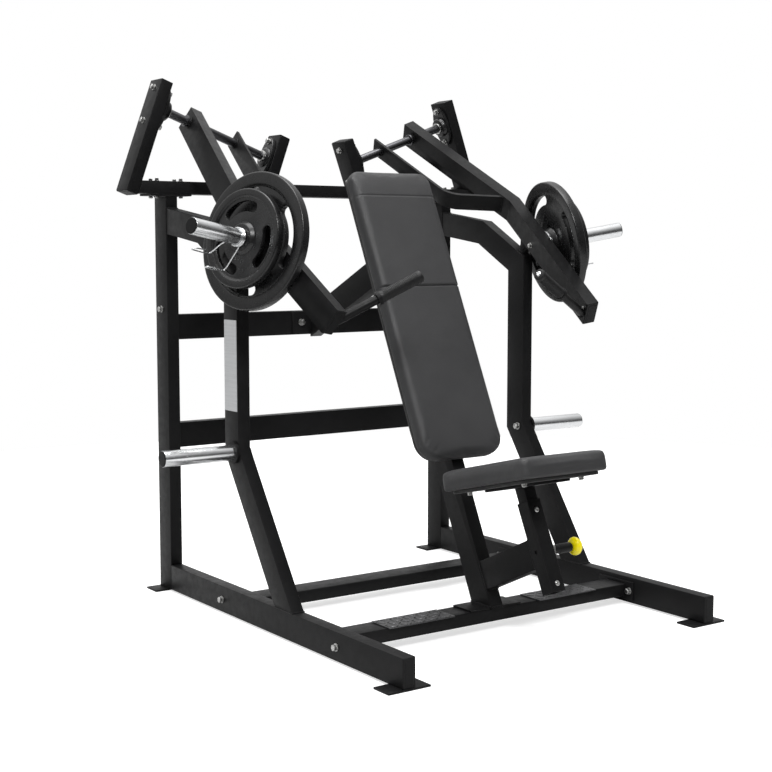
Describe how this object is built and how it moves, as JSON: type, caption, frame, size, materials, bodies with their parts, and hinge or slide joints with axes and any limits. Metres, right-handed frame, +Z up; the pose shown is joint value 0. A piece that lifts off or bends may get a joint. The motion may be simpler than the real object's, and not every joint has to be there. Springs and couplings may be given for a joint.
{
  "type": "plate-loaded incline chest press machine",
  "caption": "Plate-loaded incline chest press with two converging press arms on inclined shafts, an adjustable seat and a padded backrest.",
  "frame": {"origin": "middle of the machine on the floor, under the centre of its bounding box", "axes": "+Z up from the floor; +Y from the user's feet towards the back of the machine; +X to the right as seen from the front of the machine looking towards the back"},
  "size_m": [1.7092, 1.4688, 1.7313],
  "materials": {
    "coat": "fine-textured black powder coat",
    "chrome": "polished",
    "steel": "plain",
    "tread": "diamond tread",
    "cast_iron": "painted black casting",
    "rubber": "matt",
    "upholstery": "grained leatherette, satin",
    "board": "black painted plywood",
    "knob": "glossy yellow",
    "label": "brushed"
  },
  "bodies": {
    "frame": {"base_rail_right": "coat", "base_rail_left": "coat", "rear_upright_right": "coat", "rear_upright_left": "coat", "front_upright_right": "coat", "front_upright_left": "coat", "storage_horn_right": "chrome", "storage_horn_left": "chrome", "foot_plate_front_right": "coat", "foot_plate_front_left": "coat", "foot_plate_rear_right": "coat", "foot_plate_rear_left": "coat", "post_outer_right": "coat", "post_outer_left": "coat", "post_inner_right": "coat", "post_inner_left": "coat", "bearing_outer_right": "cast_iron", "bearing_outer_left": "cast_iron", "bearing_inner_right": "cast_iron", "bearing_inner_left": "cast_iron", "arm_stop_right": "rubber", "arm_stop_left": "rubber", "foot_tread_right": "tread", "foot_tread_left": "tread", "base_crossbar_front": "coat", "base_crossbar_rear": "coat", "rear_crossbar_upper": "coat", "rear_crossbar_lower": "coat", "top_beam": "coat", "backrest_spine": "coat", "spine_strut": "coat", "backrest_board": "board", "backrest_pad": "upholstery", "seat_sleeve": "coat", "seat_beam": "coat", "pin_housing": "steel", "name_plate": "label"},
    "arm_right": {"pivot_shaft_right": "steel", "arm_main_right": "coat", "arm_bar_right": "coat", "weight_sleeve_right": "chrome", "handle_rod_right": "coat", "handle_grip_right": "rubber"},
    "weights_right": {"plate_large_right": "cast_iron", "plate_small_right": "cast_iron", "spring_clip_right": "steel"},
    "arm_left": {"pivot_shaft_left": "steel", "arm_main_left": "coat", "arm_bar_left": "coat", "weight_sleeve_left": "chrome", "handle_rod_left": "coat", "handle_grip_left": "rubber"},
    "weights_left": {"plate_large_left": "cast_iron", "plate_small_left": "cast_iron", "spring_clip_left": "steel"},
    "seat": {"seat_post": "coat", "seat_board": "board", "seat_pad": "upholstery"},
    "pin": {"pull_pin": "steel", "pin_knob": "knob"}
  },
  "joints": [
    {"name": "arm_right_press", "type": "hinge", "parent": "frame", "child": "arm_right", "pos_m": [0.5626, 0.6661, 1.6221], "axis": [-0.9397, 0, -0.342], "range_deg": [0, 26]},
    {"name": "weights_right_slide", "type": "slide", "parent": "arm_right", "child": "weights_right", "axis": [0.9517, -0.2553, 0.1706], "range_m": [0, 0.29]},
    {"name": "arm_left_press", "type": "hinge", "parent": "frame", "child": "arm_left", "pos_m": [-0.5626, 0.6661, 1.6221], "axis": [-0.9397, 0, 0.342], "range_deg": [0, 26]},
    {"name": "weights_left_slide", "type": "slide", "parent": "arm_left", "child": "weights_left", "axis": [-0.9517, -0.2553, 0.1706], "range_m": [0, 0.29]},
    {"name": "seat_height", "type": "slide", "parent": "frame", "child": "seat", "axis": [0, 0.4242, 0.9056], "range_m": [0, 0.1]},
    {"name": "seat_pin_pull", "type": "slide", "parent": "frame", "child": "pin", "axis": [1, 0, 0], "range_m": [0, 0.014], "stiffness_N_per_m": 900, "springref_m": -0.006}
  ]
}
